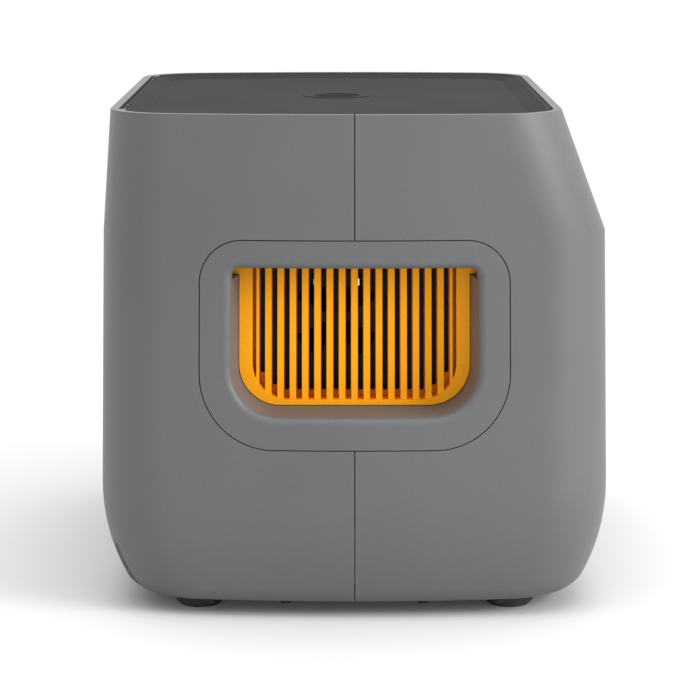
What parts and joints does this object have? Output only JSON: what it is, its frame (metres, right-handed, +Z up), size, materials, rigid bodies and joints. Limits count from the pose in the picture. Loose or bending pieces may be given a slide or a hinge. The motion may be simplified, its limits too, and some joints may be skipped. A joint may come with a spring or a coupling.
{
  "type": "filament dryer box",
  "caption": "Heated storage box for filament spools: split housing, hinged top lid with turn lock, side handle recesses with slotted vent grilles, spool rollers, blower and heater inside.",
  "frame": {"origin": "on the ground at the middle of the footprint", "axes": "+Z up, front (sloping display panel) towards -Y, width along X"},
  "size_m": [0.374, 0.3, 0.291],
  "materials": {
    "housing": "fine moulded texture, mid grey",
    "surround": "fine moulded texture, mid grey",
    "grille": "bright orange moulded plastic",
    "lid": "dark grey moulded plastic",
    "black_plastic": "black moulded plastic",
    "liner": "charcoal moulded plastic",
    "rubber": "matt rubber",
    "steel": "bright steel",
    "black_steel": "black oxide",
    "zinc_sheet": "zinc-plated sheet",
    "aluminium": "bare fins",
    "board": "green circuit board",
    "glass": "black display glass",
    "display": "display module",
    "collet": "hard plastic",
    "brass": "nickel-free brass body",
    "button": "soft-touch key",
    "cable": "cable sheath"
  },
  "bodies": {
    "housing": {"base_plate": "black_plastic", "base_screws": "black_steel", "blower_housing": "black_plastic", "blower_motor": "steel", "chamber_tub": "liner", "display_cable": "cable", "display_glass": "glass", "display_module": "display", "feet": "rubber", "finned_heater": "aluminium", "front_roller_shaft": "steel", "front_shell": "housing", "heater_duct": "zinc_sheet", "humidity_sensor": "board", "left_handle_surround": "surround", "left_vent_grille": "grille", "lid_hinge_brackets": "black_plastic", "lid_hinge_pins": "steel", "main_board": "board", "mains_cable": "cable", "mains_inlet": "black_plastic", "outlet_couplers": "brass", "panel_board": "board", "power_panel": "black_plastic", "power_supply": "zinc_sheet", "rear_roller_shaft": "steel", "rear_shell": "housing", "right_handle_surround": "surround", "right_vent_grille": "grille", "rocker_switch_body": "black_plastic", "roller_supports": "black_plastic", "shutter_pins": "steel", "stand_offs": "steel", "supply_cable": "cable"},
    "lid": {"lid_tray": "lid", "lid_inner_panel": "liner", "lid_seal": "rubber", "lock_bar_rails": "black_plastic"},
    "lid_knob": {"lid_knob": "lid", "knob_pinion": "black_plastic"},
    "lock_bar": {"lock_bar": "black_plastic"},
    "front_roller_1": {"front_roller_1": "rubber"},
    "front_roller_2": {"front_roller_2": "rubber"},
    "front_roller_3": {"front_roller_3": "rubber"},
    "front_roller_4": {"front_roller_4": "rubber"},
    "rear_roller_1": {"rear_roller_1": "rubber"},
    "rear_roller_2": {"rear_roller_2": "rubber"},
    "rear_roller_3": {"rear_roller_3": "rubber"},
    "rear_roller_4": {"rear_roller_4": "rubber"},
    "left_vent_shutter": {"left_vent_shutter": "black_plastic"},
    "right_vent_shutter": {"right_vent_shutter": "black_plastic"},
    "power_button": {"power_button": "button"},
    "up_button": {"up_button": "button"},
    "down_button": {"down_button": "button"},
    "rocker": {"rocker": "black_plastic"},
    "outlet_collet_1": {"outlet_collet_1": "collet"},
    "outlet_collet_2": {"outlet_collet_2": "collet"},
    "outlet_collet_3": {"outlet_collet_3": "collet"},
    "outlet_collet_4": {"outlet_collet_4": "collet"},
    "blower_wheel": {"blower_wheel": "black_plastic"}
  },
  "joints": [
    {"name": "lid_hinge", "type": "hinge", "parent": "housing", "child": "lid", "pos_m": [0, 0.138, 0.289], "axis": [-1, 0, 0], "range_deg": [0, 100]},
    {"name": "knob_turn", "type": "hinge", "parent": "lid", "child": "lid_knob", "pos_m": [0, 0.0105, 0.287], "axis": [0, 0, -1], "range_deg": [0, 90]},
    {"name": "lock_slide", "type": "slide", "parent": "lid", "child": "lock_bar", "axis": [0, -1, 0], "range_m": [0, 0.00755]},
    {"name": "front_roller_1_spin", "type": "hinge", "parent": "housing", "child": "front_roller_1", "pos_m": [-0.099, -0.05374, 0.08425], "axis": [1, 0, 0], "continuous": true},
    {"name": "front_roller_2_spin", "type": "hinge", "parent": "housing", "child": "front_roller_2", "pos_m": [-0.033, -0.05374, 0.08425], "axis": [1, 0, 0], "continuous": true},
    {"name": "front_roller_3_spin", "type": "hinge", "parent": "housing", "child": "front_roller_3", "pos_m": [0.033, -0.05374, 0.08425], "axis": [1, 0, 0], "continuous": true},
    {"name": "front_roller_4_spin", "type": "hinge", "parent": "housing", "child": "front_roller_4", "pos_m": [0.099, -0.05374, 0.08425], "axis": [1, 0, 0], "continuous": true},
    {"name": "rear_roller_1_spin", "type": "hinge", "parent": "housing", "child": "rear_roller_1", "pos_m": [-0.099, 0.07474, 0.08425], "axis": [1, 0, 0], "continuous": true},
    {"name": "rear_roller_2_spin", "type": "hinge", "parent": "housing", "child": "rear_roller_2", "pos_m": [-0.033, 0.07474, 0.08425], "axis": [1, 0, 0], "continuous": true},
    {"name": "rear_roller_3_spin", "type": "hinge", "parent": "housing", "child": "rear_roller_3", "pos_m": [0.033, 0.07474, 0.08425], "axis": [1, 0, 0], "continuous": true},
    {"name": "rear_roller_4_spin", "type": "hinge", "parent": "housing", "child": "rear_roller_4", "pos_m": [0.099, 0.07474, 0.08425], "axis": [1, 0, 0], "continuous": true},
    {"name": "left_shutter_turn", "type": "hinge", "parent": "housing", "child": "left_vent_shutter", "pos_m": [-0.1356, 0.0105, 0.167], "axis": [1, 0, 0], "range_deg": [0, 45]},
    {"name": "right_shutter_turn", "type": "hinge", "parent": "housing", "child": "right_vent_shutter", "pos_m": [0.1356, 0.0105, 0.167], "axis": [1, 0, 0], "range_deg": [0, 45]},
    {"name": "power_button_press", "type": "slide", "parent": "housing", "child": "power_button", "axis": [0, 0.9406, -0.3396], "range_m": [0, 0.0008]},
    {"name": "up_button_press", "type": "slide", "parent": "housing", "child": "up_button", "axis": [0, 0.9406, -0.3396], "range_m": [0, 0.0008]},
    {"name": "down_button_press", "type": "slide", "parent": "housing", "child": "down_button", "axis": [0, 0.9406, -0.3396], "range_m": [0, 0.0008]},
    {"name": "rocker_tilt", "type": "hinge", "parent": "housing", "child": "rocker", "pos_m": [-0.089, 0.123, 0.0245], "axis": [0, 0, 1], "range_deg": [-8, 8]},
    {"name": "outlet_collet_1_press", "type": "slide", "parent": "housing", "child": "outlet_collet_1", "axis": [0, -1, 0], "range_m": [0, 0.001]},
    {"name": "outlet_collet_2_press", "type": "slide", "parent": "housing", "child": "outlet_collet_2", "axis": [0, -1, 0], "range_m": [0, 0.001]},
    {"name": "outlet_collet_3_press", "type": "slide", "parent": "housing", "child": "outlet_collet_3", "axis": [0, -1, 0], "range_m": [0, 0.001]},
    {"name": "outlet_collet_4_press", "type": "slide", "parent": "housing", "child": "outlet_collet_4", "axis": [0, -1, 0], "range_m": [0, 0.001]},
    {"name": "blower_spin", "type": "hinge", "parent": "housing", "child": "blower_wheel", "pos_m": [0.074, 0.0105, 0.033], "axis": [0, 0, 1], "continuous": true}
  ],
  "couplings": [
    {"joint": "lock_slide", "follows": "knob_turn", "m_per_rad": 0.0048}
  ]
}
